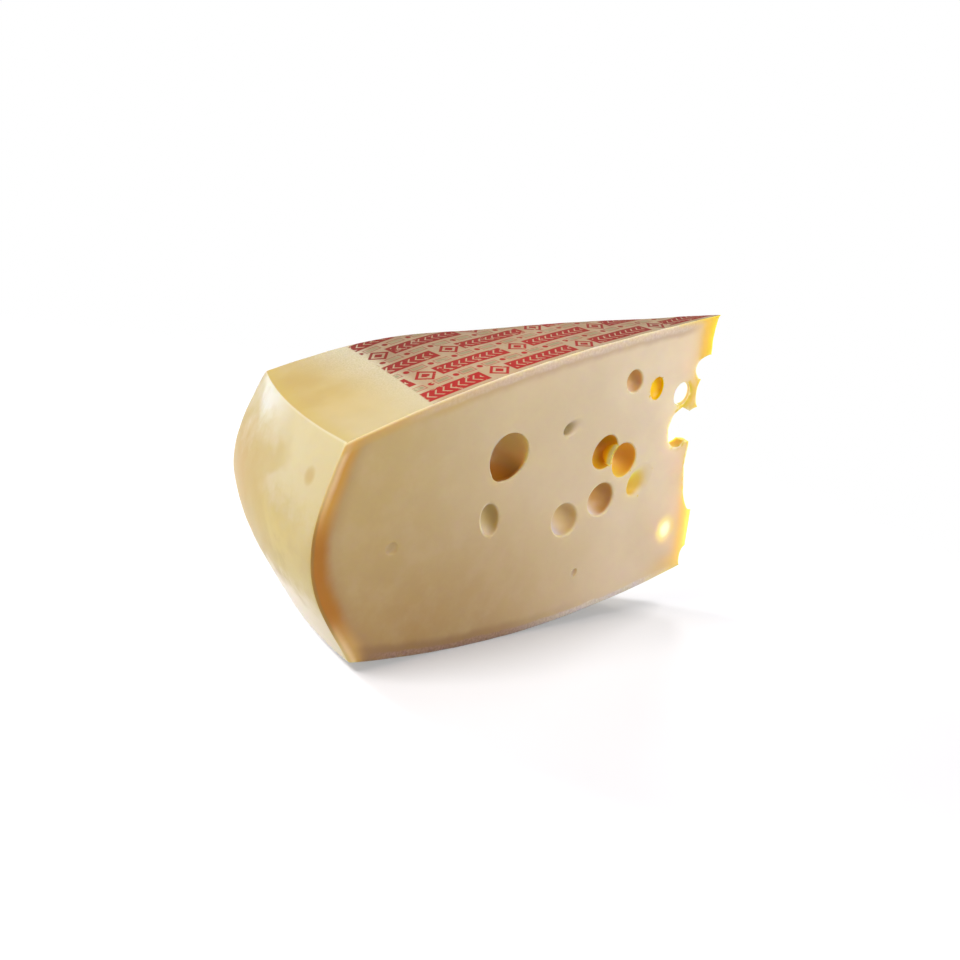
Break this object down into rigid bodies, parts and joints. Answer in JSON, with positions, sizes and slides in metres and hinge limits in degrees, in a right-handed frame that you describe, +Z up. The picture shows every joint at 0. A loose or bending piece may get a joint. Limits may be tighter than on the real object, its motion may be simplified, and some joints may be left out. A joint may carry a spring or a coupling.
{
  "type": "cheese wedge",
  "caption": "Tall wedge cut from a domed wheel of hard cheese, with round eyes in its cut faces, a bulging rind and a crumbled thin end; it rests tilted back on its domed underside.",
  "frame": {"origin": "on the floor, under the middle of the bounding box", "axes": "+X along the wedge towards its thin end, +Y towards the hidden cut face, +Z up in the resting pose"},
  "size_m": [0.428, 0.1676, 0.2725],
  "materials": {
    "cheese": "pale ivory paste with amber eyes, inside a tan satin rind with a red stamped pattern on the top"
  },
  "bodies": {
    "root": {"cheese_wedge": "cheese"}
  },
  "joints": []
}
